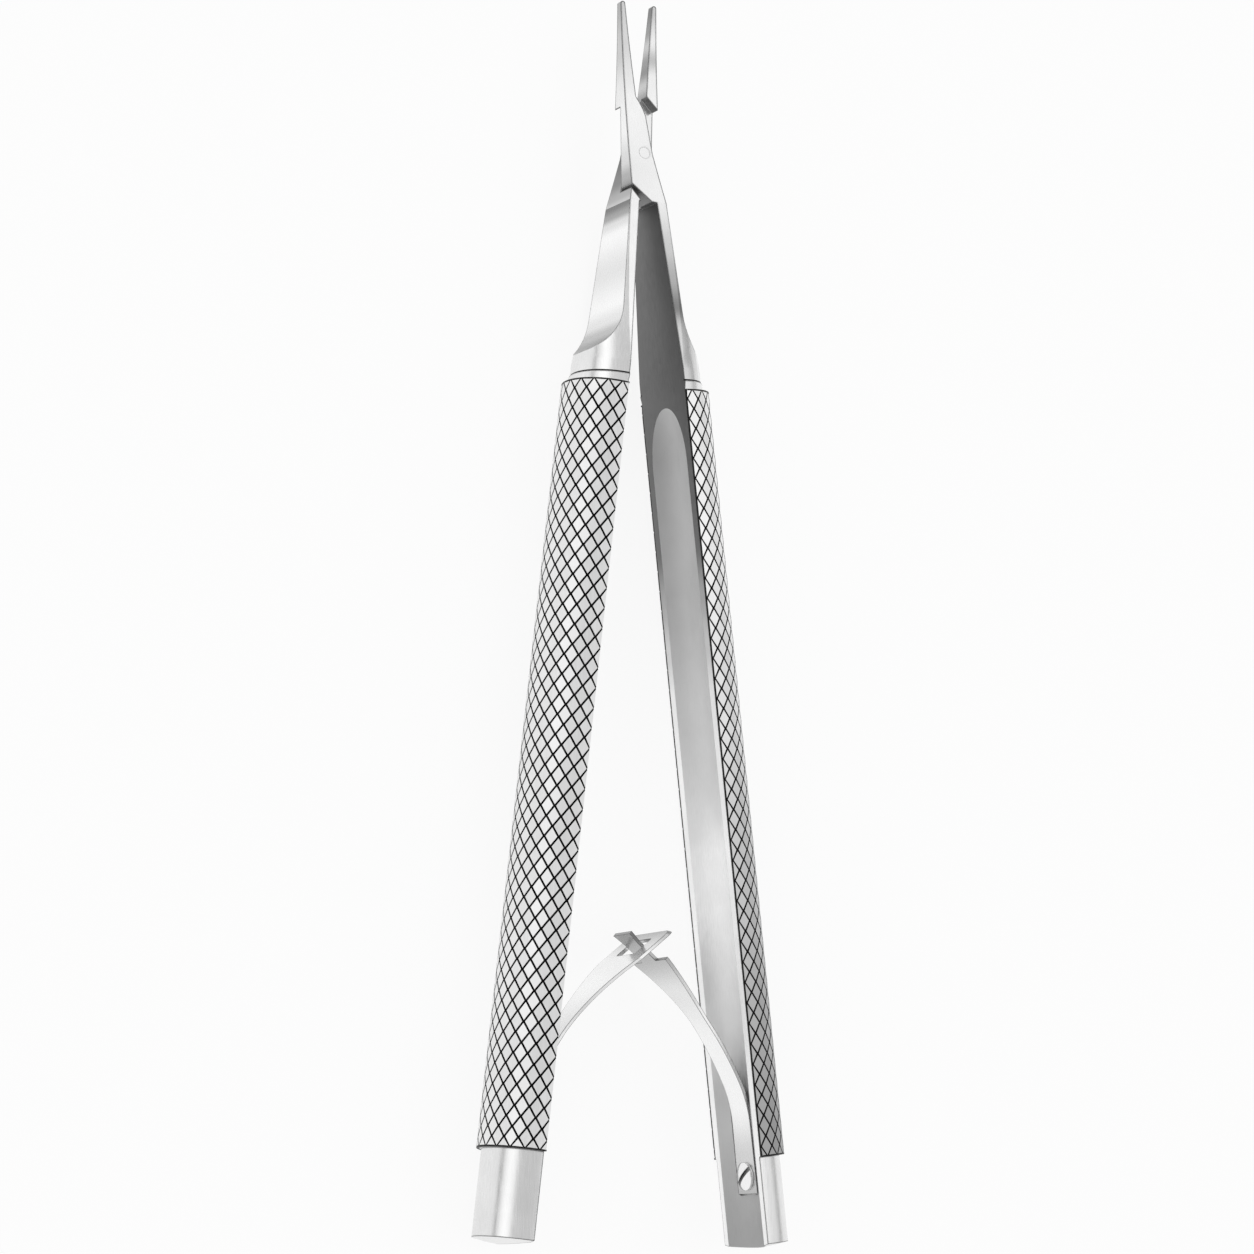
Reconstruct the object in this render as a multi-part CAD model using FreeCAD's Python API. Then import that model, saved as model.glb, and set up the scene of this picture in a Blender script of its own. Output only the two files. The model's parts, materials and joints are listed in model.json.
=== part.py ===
"""Ophthalmic needle-holder forceps: two crossed spring-handle arms on one pivot pin.

Both arms come from one pattern. The front arm is the pattern itself and the rear arm is the
pattern turned over about the long axis. Each arm is drawn closed, with the pivot axis as Z,
the jaws towards +Y and the handle towards -Y, and is then swung open and laid on the table.
Millimetres throughout.
"""
import FreeCAD, Part
import math
import os

# Overall sizes, measured from the pivot axis
JAW_LENGTH = 16.6
TAIL_REACH = 113.4
OPEN_HALF_DEG = 5.6
HANDLE_SPLAY_DEG = 0.95
HANDLE_OFFSET = 0.42
GRIP_CLEARANCE = 0.01

# Jaws and lap joint
TIP_WIDTH = 0.52
TIP_HALF_HEIGHT = 0.36
TIP_CORNER_RADIUS = 0.25
MID_JAW_Y = 4.5
MID_JAW_HALF_HEIGHT = 1.18
LAP_WIDTH_OUTER = 2.12
LAP_WIDTH_INNER = 0.98
LAP_HALF_HEIGHT = 2.6
LAP_REAR_Y = -3.4
LAP_SHOULDER_DROP = 2.1
CROTCH_Y = 6.2
CROTCH_CORNER = 0.86
CROTCH_CORNER_RUN = 2.24
CROTCH_CORNER_BOW = 0.11
FRONT_SHOULDER_SLOPE = 0.84
SHOULDER_CLEARANCE = 0.15
SHOULDER_FOOT = 0.1
LAP_FACE_CLEARANCE = 0.02

# Pivot pin
PIN_RADIUS = 0.6
PIN_CLEARANCE = 0.02

# Neck and collar, round about a line that lies inside the inner face
NECK_BACKSET = 0.75
NECK_WALL_FRONT = 1.12
NECK_WALL_REAR = 1.1
FLARE_START_Y = -17.5
FLARE_RADIUS = 5.75
FLARE_TURN_DEG = 80.0
COLLAR_RADIUS = 4.65
COLLAR_REAR_Y = -24.6
BAND_STEP = 0.12

# Handle
KNURL_START_Y = -25.5
GRIP_RADIUS = 4.75
KNURL_DEPTH = 0.28
KNURL_CELLS_ROUND = 20
KNURL_CELLS_LONG = 76
TAIL_LENGTH = 9.2
TAIL_RADIUS = 4.25
TAIL_DOME = 0.45

# Hollow along the inner face of the handle
HOLLOW_HALF_WIDTH = 3.5
HOLLOW_DEPTH = 1.2
HOLLOW_TOP_Y = -26.7
HOLLOW_CUTTER_RADIUS = 17.0

# Leaf springs: the root and the screw are placed from the tail end
LEAF_THICKNESS = 0.36
LEAF_SEAT_DEPTH = 1.15
LEAF_SEAT_CLEARANCE = 0.12
LEAF_SEAT_CORNER_RADIUS = 0.4
LEAF_ROOT_FROM_END = 5.5
LEAF_ROOT_HALF_WIDTH = 1.85
LEAF_WAIST_HALF_WIDTH = 1.5
LEAF_FIRST_RADIUS = 13.0
LEAF_FIRST_TURN_DEG = 20.0
LEAF_SECOND_RADIUS = 36.0
LEAF_SECOND_TURN_DEG = 24.5
LEAF_FLARE_POWER = 1.5
HEAD_CORNER_RADIUS = 0.8

# The spring with the window, on the rear arm
WINDOW_LEAF_STRAIGHT = 6.3
WINDOW_LEAF_FLARE = 8.3
WINDOW_HEAD_HALF_WIDTH = 4.1
WINDOW_HEAD_FULL = 2.4
WINDOW_HEAD_REACH = 2.4
WINDOW_HALF_WIDTH = 1.95
WINDOW_HALF_LENGTH = 1.3
WINDOW_SHIFT = -0.25
WINDOW_CORNER_RADIUS = 0.35

# The spring with the tongue, on the front arm
TONGUE_LEAF_STRAIGHT = 7.0
TONGUE_LEAF_FLARE = 6.5
TONGUE_HEAD_HALF_WIDTH = 3.4
TONGUE_SHOULDER = 2.0
TONGUE_REACH = 2.1
TONGUE_STRAIGHT = 0.7
TONGUE_HALF_WIDTH = 1.35
TONGUE_END_HALF_WIDTH = 1.9

# Spring screws
SCREW_FROM_END = 7.3
SCREW_HEAD_RADIUS = 1.45
SCREW_HEAD_HEIGHT = 0.52
SCREW_DOME = 0.26
SCREW_SHANK_RADIUS = 0.8
SCREW_DEPTH = 2.0
SCREW_HOLE_SPARE = 0.3
SLOT_WIDTH = 0.4
SLOT_DEPTH = 0.28
SLOT_TURN_DEG = -35.0

# Places along the handle that follow from the sizes above
KNURL_END_Y = TAIL_LENGTH - TAIL_REACH
LEAF_ROOT_Y = LEAF_ROOT_FROM_END - TAIL_REACH
SCREW_Y = SCREW_FROM_END - TAIL_REACH
BEYOND = 0.4 * TAIL_REACH
OVERCUT = 1.0

X_AXIS = FreeCAD.Vector(1, 0, 0)
Y_AXIS = FreeCAD.Vector(0, 1, 0)
Z_AXIS = FreeCAD.Vector(0, 0, 1)
ORIGIN = FreeCAD.Vector(0, 0, 0)


def at(x, y, z=0.0):
    return FreeCAD.Vector(x, y, z)


def face_of(points):
    """A flat face from its corners, which may include finished edges between them."""
    return Part.Face(Part.makePolygon(points + [points[0]]))


def slab(face, height):
    """A face in the XY plane, extruded evenly to both sides of it."""
    moved = face.copy()
    moved.translate(at(0, 0, -height))
    return moved.extrude(at(0, 0, 2 * height))


def half_height(y):
    """Half height of the jaw and lap at a place along the arm, on one gentle curve."""
    y0, h0 = JAW_LENGTH, TIP_HALF_HEIGHT
    y1, h1 = MID_JAW_Y, MID_JAW_HALF_HEIGHT
    y2, h2 = neck_front_y(), LAP_HALF_HEIGHT
    first = (h1 - h0) / (y1 - y0)
    second = ((h2 - h1) / (y2 - y1) - first) / (y2 - y0)
    return h0 + first * (y - y0) + second * (y - y0) * (y - y1)


def neck_front_y():
    """Where the neck ends and the lap begins."""
    return LAP_REAR_Y - LAP_SHOULDER_DROP


def outer_edge_x(y):
    """Outer side of the jaw and lap, a straight taper from the lap to the tip."""
    share = (y - LAP_REAR_Y) / (JAW_LENGTH - LAP_REAR_Y)
    return -(LAP_WIDTH_OUTER + share * (TIP_WIDTH - LAP_WIDTH_OUTER))


def swing(shape, degrees):
    """Turn about the pivot axis."""
    turned = shape.copy()
    turned.rotate(ORIGIN, Z_AXIS, degrees)
    return turned


def to_closed(shape):
    """From the handle's own lines to the closed arm: the handle leans out by its splay."""
    return swing(shape, HANDLE_SPLAY_DEG)


def handle_point(x, y):
    """A point on the handle's own lines, as a point of the closed arm."""
    angle = math.radians(HANDLE_SPLAY_DEG)
    return at(x * math.cos(angle) - y * math.sin(angle), x * math.sin(angle) + y * math.cos(angle))


def jaw_outline():
    """Jaw, lap and the first of the neck, seen along the pivot axis."""
    tip_outer = at(outer_edge_x(JAW_LENGTH), JAW_LENGTH)
    tip_inner = at(-GRIP_CLEARANCE, JAW_LENGTH)
    crotch = at(-GRIP_CLEARANCE, CROTCH_Y)
    corner = at(CROTCH_CORNER, CROTCH_Y - CROTCH_CORNER_RUN)
    outwards = Z_AXIS.cross(corner - crotch).normalize()
    corner_mid = (crotch + corner) * 0.5 + outwards * CROTCH_CORNER_BOW
    lap_inner = at(LAP_WIDTH_INNER, -SHOULDER_CLEARANCE)
    neck_outer = handle_point(HANDLE_OFFSET + NECK_WALL_FRONT, neck_front_y())
    neck_inner = handle_point(HANDLE_OFFSET, neck_front_y())
    shoulder_foot = at(-GRIP_CLEARANCE - SHOULDER_FOOT, neck_front_y() + SHOULDER_FOOT)
    lap_rear = at(outer_edge_x(LAP_REAR_Y), LAP_REAR_Y)
    edges = [
        Part.makeLine(tip_inner, crotch),
        Part.Arc(crotch, corner_mid, corner).toShape(),
        Part.makeLine(corner, lap_inner),
        Part.makeLine(lap_inner, neck_outer),
        Part.makeLine(neck_outer, neck_inner),
        Part.makeLine(neck_inner, shoulder_foot),
        Part.makeLine(shoulder_foot, lap_rear),
        Part.makeLine(lap_rear, tip_outer),
        Part.makeLine(tip_outer, tip_inner),
    ]
    return Part.Face(Part.Wire(edges))


def side_taper():
    """Everything inside the jaw's curved top and bottom, as a slab across the arm."""
    rear = neck_front_y() - OVERCUT
    mid = 0.5 * (JAW_LENGTH + rear)
    tip = JAW_LENGTH + OVERCUT

    def edge(sign):
        return [at(0, y, sign * half_height(y)) for y in (rear, mid, tip)]

    top = edge(1)
    bottom = edge(-1)
    wire = Part.Wire([
        Part.Arc(*top).toShape(),
        Part.makeLine(top[2], bottom[2]),
        Part.Arc(bottom[2], bottom[1], bottom[0]).toShape(),
        Part.makeLine(bottom[0], top[0]),
    ])
    face = Part.Face(wire)
    face.translate(at(-BEYOND, 0, 0))
    return face.extrude(at(2 * BEYOND, 0, 0))


def lap_recess():
    """The half of the thickness that the other arm's lap takes, between the two shoulders."""
    half_width = 2 * LAP_WIDTH_OUTER
    front_near = at(half_width, CROTCH_Y + SHOULDER_CLEARANCE)
    front_mid = at(-GRIP_CLEARANCE, CROTCH_Y + SHOULDER_CLEARANCE)
    front_far = at(-half_width, CROTCH_Y + SHOULDER_CLEARANCE - FRONT_SHOULDER_SLOPE * half_width)
    rise = LAP_SHOULDER_DROP / LAP_WIDTH_OUTER
    drop = SHOULDER_CLEARANCE * math.sqrt(1 + rise * rise)
    rear_low = at(-half_width, neck_front_y() - drop)
    rear_mid = at(0, neck_front_y() - drop)
    rear_high = at(half_width, neck_front_y() - drop + rise * half_width)
    face = face_of([front_near, front_mid, front_far, rear_low, rear_mid, rear_high])
    depth = 2 * LAP_HALF_HEIGHT
    face.translate(at(0, 0, -depth))
    return face.extrude(at(0, 0, depth + LAP_FACE_CLEARANCE / 2))


def neck():
    """Tapering neck with its outside milled away to a thin wall that flares into the collar."""
    front = neck_front_y()
    rear = FLARE_START_Y - FLARE_RADIUS
    axis_x = HANDLE_OFFSET - NECK_BACKSET
    front_radius = math.hypot(LAP_HALF_HEIGHT, NECK_BACKSET + NECK_WALL_FRONT)
    profile = face_of([
        at(axis_x, front),
        at(axis_x + front_radius, front),
        at(axis_x + COLLAR_RADIUS, rear),
        at(axis_x + COLLAR_RADIUS, COLLAR_REAR_Y),
        at(axis_x, COLLAR_REAR_Y),
    ])
    cone = profile.revolve(at(axis_x, 0), Y_AXIS, 360)
    collar_half_width = math.sqrt(COLLAR_RADIUS ** 2 - NECK_BACKSET ** 2)
    sides = face_of([
        at(0, front, LAP_HALF_HEIGHT),
        at(0, rear, collar_half_width),
        at(0, COLLAR_REAR_Y, COLLAR_RADIUS),
        at(0, COLLAR_REAR_Y, -COLLAR_RADIUS),
        at(0, rear, -collar_half_width),
        at(0, front, -LAP_HALF_HEIGHT),
    ])
    cone = cone.common(sides.extrude(at(BEYOND, 0, 0)))
    wall_front = at(HANDLE_OFFSET + NECK_WALL_FRONT, front + OVERCUT)
    wall_rear = at(HANDLE_OFFSET + NECK_WALL_REAR, FLARE_START_Y)
    centre = at(wall_rear.x + FLARE_RADIUS, FLARE_START_Y)
    end_angle = math.radians(FLARE_TURN_DEG)
    flare = [
        at(centre.x - FLARE_RADIUS * math.cos(a), centre.y - FLARE_RADIUS * math.sin(a))
        for a in (0, end_angle / 2, end_angle)
    ]
    scallop = Part.Face(Part.Wire([
        Part.makeLine(wall_front, wall_rear),
        Part.Arc(*flare).toShape(),
        Part.makeLine(flare[2], at(BEYOND, flare[2].y)),
        Part.makeLine(at(BEYOND, flare[2].y), at(BEYOND, wall_front.y)),
        Part.makeLine(at(BEYOND, wall_front.y), wall_front),
    ]))
    return cone.cut(slab(scallop, BEYOND))


def band():
    """The narrow plain ring between the collar and the knurling, one small step larger."""
    length = COLLAR_REAR_Y - KNURL_START_Y
    start = at(HANDLE_OFFSET - NECK_BACKSET, KNURL_START_Y)
    return Part.makeCylinder(COLLAR_RADIUS + BAND_STEP, length, start, Y_AXIS)


def knurled_bar():
    """The knurled length of the handle: a half-round bar whose skin is pointed diamonds."""
    round_step = math.pi / KNURL_CELLS_ROUND
    long_step = (KNURL_END_Y - KNURL_START_Y) / KNURL_CELLS_LONG

    def point(i, j):
        radius = GRIP_RADIUS - (KNURL_DEPTH if (i + j) % 2 else 0.0)
        angle = i * round_step - math.pi / 2
        x = HANDLE_OFFSET + radius * math.cos(angle)
        return at(x, KNURL_START_Y + j * long_step, radius * math.sin(angle))

    faces = []
    for i in range(KNURL_CELLS_ROUND):
        for j in range(KNURL_CELLS_LONG):
            a = point(i, j)
            b = point(i + 1, j)
            c = point(i + 1, j + 1)
            d = point(i, j + 1)
            if (i + j) % 2:
                faces += [face_of([a, b, c]), face_of([a, c, d])]
            else:
                faces += [face_of([a, b, d]), face_of([b, c, d])]
    for j in (0, KNURL_CELLS_LONG):
        faces.append(face_of([point(i, j) for i in range(KNURL_CELLS_ROUND + 1)]))
    low_side = [point(0, j) for j in range(KNURL_CELLS_LONG + 1)]
    high_side = [point(KNURL_CELLS_ROUND, j) for j in range(KNURL_CELLS_LONG, -1, -1)]
    faces.append(face_of(low_side + high_side))
    shell = Part.makeShell(faces)
    shell.sewShape()
    return Part.makeSolid(shell)


def tail():
    """The smooth end of the handle, its end face slightly domed."""
    rim_y = TAIL_DOME - TAIL_REACH
    edges = [
        Part.makeLine(at(HANDLE_OFFSET, KNURL_END_Y), at(HANDLE_OFFSET + TAIL_RADIUS, KNURL_END_Y)),
        Part.makeLine(at(HANDLE_OFFSET + TAIL_RADIUS, KNURL_END_Y), at(HANDLE_OFFSET + TAIL_RADIUS, rim_y)),
        Part.Arc(
            at(HANDLE_OFFSET + TAIL_RADIUS, rim_y),
            at(HANDLE_OFFSET, -TAIL_REACH),
            at(HANDLE_OFFSET - TAIL_RADIUS, rim_y),
        ).toShape(),
        Part.makeLine(at(HANDLE_OFFSET - TAIL_RADIUS, rim_y), at(HANDLE_OFFSET - TAIL_RADIUS, KNURL_END_Y)),
        Part.makeLine(at(HANDLE_OFFSET - TAIL_RADIUS, KNURL_END_Y), at(HANDLE_OFFSET, KNURL_END_Y)),
    ]
    whole = Part.Face(Part.Wire(edges))
    half = Part.makePlane(BEYOND, BEYOND, at(HANDLE_OFFSET, KNURL_END_Y - BEYOND))
    return whole.common(half).revolve(at(HANDLE_OFFSET, 0), Y_AXIS, 360)


def inner_half_space():
    """All that lies on the inner side of the handle's inner face, from the neck to the tail."""
    length = TAIL_REACH + BEYOND
    box = Part.makeBox(BEYOND, length, 2 * BEYOND)
    box.translate(at(HANDLE_OFFSET - BEYOND, neck_front_y() - length, -BEYOND))
    return box


def hollow():
    """The shallow round-bottomed channel, with the run-out of its form cutter at the top."""
    section_radius = (HOLLOW_HALF_WIDTH ** 2 + HOLLOW_DEPTH ** 2) / (2 * HOLLOW_DEPTH)
    bottom_x = HANDLE_OFFSET + HOLLOW_DEPTH
    run_out = math.sqrt(HOLLOW_CUTTER_RADIUS ** 2 - (HOLLOW_CUTTER_RADIUS - HOLLOW_DEPTH) ** 2)
    full_y = HOLLOW_TOP_Y - run_out
    length = TAIL_REACH + full_y + OVERCUT
    axis_x = bottom_x - section_radius
    channel = Part.makeCylinder(section_radius, length, at(axis_x, full_y - length), Y_AXIS)
    ring_centre = at(bottom_x - HOLLOW_CUTTER_RADIUS, full_y)
    ring = Part.makeTorus(HOLLOW_CUTTER_RADIUS - section_radius, section_radius, ring_centre, Z_AXIS)
    return channel.fuse(ring)


def leaf_seat():
    """The flat under the spring's root, a shallow pocket with round corners."""
    half_width = LEAF_ROOT_HALF_WIDTH + LEAF_SEAT_CLEARANCE
    rear = LEAF_ROOT_Y - LEAF_SEAT_CLEARANCE
    straight = max(WINDOW_LEAF_STRAIGHT, TONGUE_LEAF_STRAIGHT)
    run = math.sqrt(2 * LEAF_FIRST_RADIUS * (LEAF_THICKNESS + LEAF_SEAT_CLEARANCE))
    pocket = Part.makeBox(BEYOND, straight + run, 2 * half_width)
    pocket.translate(at(HANDLE_OFFSET + LEAF_SEAT_DEPTH - BEYOND, rear, -half_width))
    corners = [e for e in pocket.Edges if abs(e.tangentAt(e.FirstParameter).x) > 0.9]
    return pocket.makeFillet(LEAF_SEAT_CORNER_RADIUS, corners)


def screw_hole():
    depth = SCREW_DEPTH + SCREW_HOLE_SPARE
    start = at(HANDLE_OFFSET + LEAF_SEAT_DEPTH - OVERCUT, SCREW_Y)
    return Part.makeCylinder(SCREW_SHANK_RADIUS, depth + OVERCUT, start, X_AXIS)


def arm():
    """One arm in the closed pose, jaw to tail, as a single piece."""
    lap = slab(jaw_outline(), BEYOND).common(side_taper())
    tip = [
        e for e in lap.Edges
        if abs(e.CenterOfMass.y - JAW_LENGTH) < 1e-6 and abs(e.tangentAt(e.FirstParameter).z) > 0.9
    ]
    lap = lap.makeFillet(TIP_CORNER_RADIUS, tip)
    smooth = neck().fuse([band(), tail()]).cut(inner_half_space())
    handle = smooth.fuse(knurled_bar()).cut([hollow(), leaf_seat(), screw_hole()])
    body = lap.fuse(to_closed(handle)).cut(lap_recess())
    bore = Part.makeCylinder(PIN_RADIUS + PIN_CLEARANCE, 2 * BEYOND, at(0, 0, -BEYOND), Z_AXIS)
    return body.cut(bore)


def leaf_line(straight):
    """The leaf's middle line on the handle's own lines: places and headings, root to last bend."""
    x = HANDLE_OFFSET + LEAF_SEAT_DEPTH - LEAF_THICKNESS / 2
    y = LEAF_ROOT_Y + straight
    stations = [(x, LEAF_ROOT_Y, 0.0), (x, y, 0.0)]
    heading = 0.0
    for radius, turn in [(LEAF_FIRST_RADIUS, LEAF_FIRST_TURN_DEG), (LEAF_SECOND_RADIUS, LEAF_SECOND_TURN_DEG)]:
        for _ in range(2):
            step = math.radians(turn) / 2
            x += radius * (math.cos(heading + step) - math.cos(heading))
            y += radius * (math.sin(heading + step) - math.sin(heading))
            heading += step
            stations.append((x, y, heading))
    return stations


def crossing(straight, other_straight):
    """Where the leaf meets the other arm's leaf in the open pose, on the handle's own lines."""
    lean = math.radians(OPEN_HALF_DEG + HANDLE_SPLAY_DEG)
    x, y, heading = leaf_line(straight)[-1]
    other_x, other_y, _ = leaf_line(other_straight)[-1]
    across = (x + other_x) * math.cos(lean) - (y + other_y) * math.sin(lean)
    ahead = (other_x - x) * math.sin(lean) + (other_y - y) * math.cos(lean)
    distance = (across / math.sin(heading + lean) + ahead / math.cos(heading + lean)) / 2
    return x - distance * math.sin(heading), y + distance * math.cos(heading), heading


def leaf_strip(straight, crossing_at, reach):
    """The bent strip, much wider than the leaf, ending past the crossing by the given reach."""
    x, y, heading = crossing_at
    end = (x - reach * math.sin(heading), y + reach * math.cos(heading), heading)
    stations = leaf_line(straight) + [end]

    def side(offset):
        points = [at(px + offset * math.cos(h), py + offset * math.sin(h)) for px, py, h in stations]
        edges = [
            Part.makeLine(points[0], points[1]),
            Part.Arc(points[1], points[2], points[3]).toShape(),
            Part.Arc(points[3], points[4], points[5]).toShape(),
            Part.makeLine(points[5], points[6]),
        ]
        return edges, points[0], points[-1]

    outer, outer_root, outer_end = side(LEAF_THICKNESS / 2)
    inner, inner_root, inner_end = side(-LEAF_THICKNESS / 2)
    ends = [Part.makeLine(outer_root, inner_root), Part.makeLine(outer_end, inner_end)]
    return slab(Part.Face(Part.Wire(Part.__sortEdges__(outer + inner + ends))), BEYOND)


def leaf_plan(crossing_at, reach, full, flare, head_half_width):
    """The leaf seen square to the handle's inner face, root to head, as a slab along X."""
    _, cross_y, heading = crossing_at
    head_y = cross_y + reach * math.cos(heading)
    full_y = cross_y - full * math.cos(heading)

    def half_width(share):
        return LEAF_WAIST_HALF_WIDTH + (head_half_width - LEAF_WAIST_HALF_WIDTH) * share ** LEAF_FLARE_POWER

    def side(sign):
        curve = Part.BSplineCurve()
        shares = [step / 4 for step in range(5)]
        curve.interpolate([at(0, full_y - (1 - t) * flare, sign * half_width(t)) for t in shares])
        root = at(0, LEAF_ROOT_Y, sign * LEAF_ROOT_HALF_WIDTH)
        corner = at(0, head_y, sign * head_half_width)
        return [
            Part.makeLine(root, curve.StartPoint),
            curve.toShape(),
            Part.makeLine(curve.EndPoint, corner),
        ], root, corner

    left, left_root, left_corner = side(-1)
    right, right_root, right_corner = side(1)
    ends = [Part.makeLine(left_root, right_root), Part.makeLine(left_corner, right_corner)]
    face = Part.Face(Part.Wire(Part.__sortEdges__(left + right + ends)))
    face.translate(at(-BEYOND, 0, 0))
    plan = face.extrude(at(2 * BEYOND, 0, 0))
    corners = [
        e for e in plan.Edges
        if abs(e.CenterOfMass.y - head_y) < 1e-4 and abs(e.tangentAt(e.FirstParameter).x) > 0.9
    ]
    return plan.makeFillet(HEAD_CORNER_RADIUS, corners)


def through_leaf(face, crossing_at):
    """A flat face drawn about the crossing, X along the leaf and Y across it, cut through the leaf."""
    x, y, heading = crossing_at
    height = 3 * LEAF_THICKNESS
    face.translate(at(0, 0, -height))
    cutter = face.extrude(at(0, 0, 2 * height))
    along = at(-math.sin(heading), math.cos(heading))
    normal = along.cross(Z_AXIS)
    matrix = FreeCAD.Matrix(
        along.x, 0, normal.x, x,
        along.y, 0, normal.y, y,
        0, 1, 0, 0,
        0, 0, 0, 1,
    )
    return cutter.transformGeometry(matrix)


def window_cutter(crossing_at):
    """The window in the head that the other spring's tongue passes through."""
    low = WINDOW_SHIFT - WINDOW_HALF_LENGTH
    high = WINDOW_SHIFT + WINDOW_HALF_LENGTH
    face = face_of([
        at(low, -WINDOW_HALF_WIDTH),
        at(high, -WINDOW_HALF_WIDTH),
        at(high, WINDOW_HALF_WIDTH),
        at(low, WINDOW_HALF_WIDTH),
    ])
    cutter = through_leaf(face, crossing_at)
    heading = crossing_at[2]
    normal = at(math.cos(heading), math.sin(heading))
    corners = [e for e in cutter.Edges if abs(e.tangentAt(e.FirstParameter).dot(normal)) > 0.9]
    return cutter.makeFillet(WINDOW_CORNER_RADIUS, corners)


def tongue_cutters(crossing_at):
    """What is cut from both sides of the head to leave the tongue, which widens at its end."""
    wide = 2 * TONGUE_HEAD_HALF_WIDTH
    end = TONGUE_REACH + HEAD_CORNER_RADIUS
    cutters = []
    for sign in (-1, 1):
        face = face_of([
            at(-TONGUE_SHOULDER, sign * TONGUE_HALF_WIDTH),
            at(TONGUE_STRAIGHT, sign * TONGUE_HALF_WIDTH),
            at(end, sign * TONGUE_END_HALF_WIDTH),
            at(end, sign * wide),
            at(-TONGUE_SHOULDER, sign * wide),
        ])
        cutters.append(through_leaf(face, crossing_at))
    return cutters


def leaf_hole():
    return Part.makeCylinder(SCREW_SHANK_RADIUS, BEYOND, at(HANDLE_OFFSET, SCREW_Y), X_AXIS)


def window_spring():
    """Leaf with a wide head and a window in it."""
    place = crossing(WINDOW_LEAF_STRAIGHT, TONGUE_LEAF_STRAIGHT)
    strip = leaf_strip(WINDOW_LEAF_STRAIGHT, place, WINDOW_HEAD_REACH)
    plan = leaf_plan(place, WINDOW_HEAD_REACH, WINDOW_HEAD_FULL, WINDOW_LEAF_FLARE, WINDOW_HEAD_HALF_WIDTH)
    return strip.common(plan).cut([window_cutter(place), leaf_hole()])


def tongue_spring():
    """Leaf whose head narrows at two shoulders to a tongue."""
    place = crossing(TONGUE_LEAF_STRAIGHT, WINDOW_LEAF_STRAIGHT)
    strip = leaf_strip(TONGUE_LEAF_STRAIGHT, place, TONGUE_REACH)
    past_end = TONGUE_REACH + 2 * HEAD_CORNER_RADIUS
    plan = leaf_plan(place, past_end, TONGUE_SHOULDER, TONGUE_LEAF_FLARE, TONGUE_HEAD_HALF_WIDTH)
    return strip.common(plan).cut(tongue_cutters(place) + [leaf_hole()])


def spring_screw():
    """Slotted screw with a low domed head that clamps a spring's root."""
    under_head_x = HANDLE_OFFSET + LEAF_SEAT_DEPTH - LEAF_THICKNESS
    crown_x = under_head_x - SCREW_HEAD_HEIGHT
    rim_x = crown_x + SCREW_DOME
    shank_end_x = under_head_x + LEAF_THICKNESS + SCREW_DEPTH
    rim_y = SCREW_Y + SCREW_HEAD_RADIUS
    shank_y = SCREW_Y + SCREW_SHANK_RADIUS
    dome_radius = (SCREW_HEAD_RADIUS ** 2 + SCREW_DOME ** 2) / (2 * SCREW_DOME)
    half_turn = math.asin(SCREW_HEAD_RADIUS / dome_radius) / 2
    dome_mid = at(
        crown_x + dome_radius * (1 - math.cos(half_turn)),
        SCREW_Y + dome_radius * math.sin(half_turn),
    )
    profile = Part.Face(Part.Wire([
        Part.Arc(at(crown_x, SCREW_Y), dome_mid, at(rim_x, rim_y)).toShape(),
        Part.makeLine(at(rim_x, rim_y), at(under_head_x, rim_y)),
        Part.makeLine(at(under_head_x, rim_y), at(under_head_x, shank_y)),
        Part.makeLine(at(under_head_x, shank_y), at(shank_end_x, shank_y)),
        Part.makeLine(at(shank_end_x, shank_y), at(shank_end_x, SCREW_Y)),
        Part.makeLine(at(shank_end_x, SCREW_Y), at(crown_x, SCREW_Y)),
    ]))
    turned = profile.revolve(at(0, SCREW_Y), X_AXIS, 360)
    slot = Part.makeBox(2 * SLOT_DEPTH, SLOT_WIDTH, 4 * SCREW_HEAD_RADIUS)
    slot.translate(at(crown_x - SLOT_DEPTH, SCREW_Y - SLOT_WIDTH / 2, -2 * SCREW_HEAD_RADIUS))
    slot.rotate(at(0, SCREW_Y), X_AXIS, SLOT_TURN_DEG)
    return turned.cut(slot)


def pivot_pin():
    """Flush pin, ground off with both lap faces."""
    pin = Part.makeCylinder(PIN_RADIUS, 2 * BEYOND, at(0, 0, -BEYOND), Z_AXIS)
    return pin.common(side_taper())


def as_front(shape):
    return swing(shape, OPEN_HALF_DEG)


def as_rear(shape):
    turned = shape.copy()
    turned.rotate(ORIGIN, Y_AXIS, 180)
    return swing(turned, -OPEN_HALF_DEG)


def build():
    pattern = arm()
    screw = to_closed(spring_screw())
    nodes = {
        "front_arm": as_front(pattern),
        "rear_arm": as_rear(pattern),
        "pivot_pin": pivot_pin(),
        "tongue_spring": as_front(to_closed(tongue_spring())),
        "window_spring": as_rear(to_closed(window_spring())),
        "tongue_spring_screw": as_front(screw),
        "window_spring_screw": as_rear(screw),
    }
    box = Part.makeCompound([nodes["front_arm"], nodes["rear_arm"]]).optimalBoundingBox(False, False)
    home = at(-box.Center.x, -box.Center.y, -box.ZMin)
    os.makedirs("parts", exist_ok=True)
    for name, shape in nodes.items():
        shape.translate(home)
        shape.exportStep("parts/" + name + ".step")
        print(name, "valid", shape.isValid(), "solids", len(shape.Solids), "volume", round(shape.Volume, 2))
    print("pivot at", round(home.x, 3), round(home.y, 3), round(home.z, 3))
    print("size", round(box.XLength, 2), round(box.YLength, 2), round(box.ZLength, 2))


build()
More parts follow.
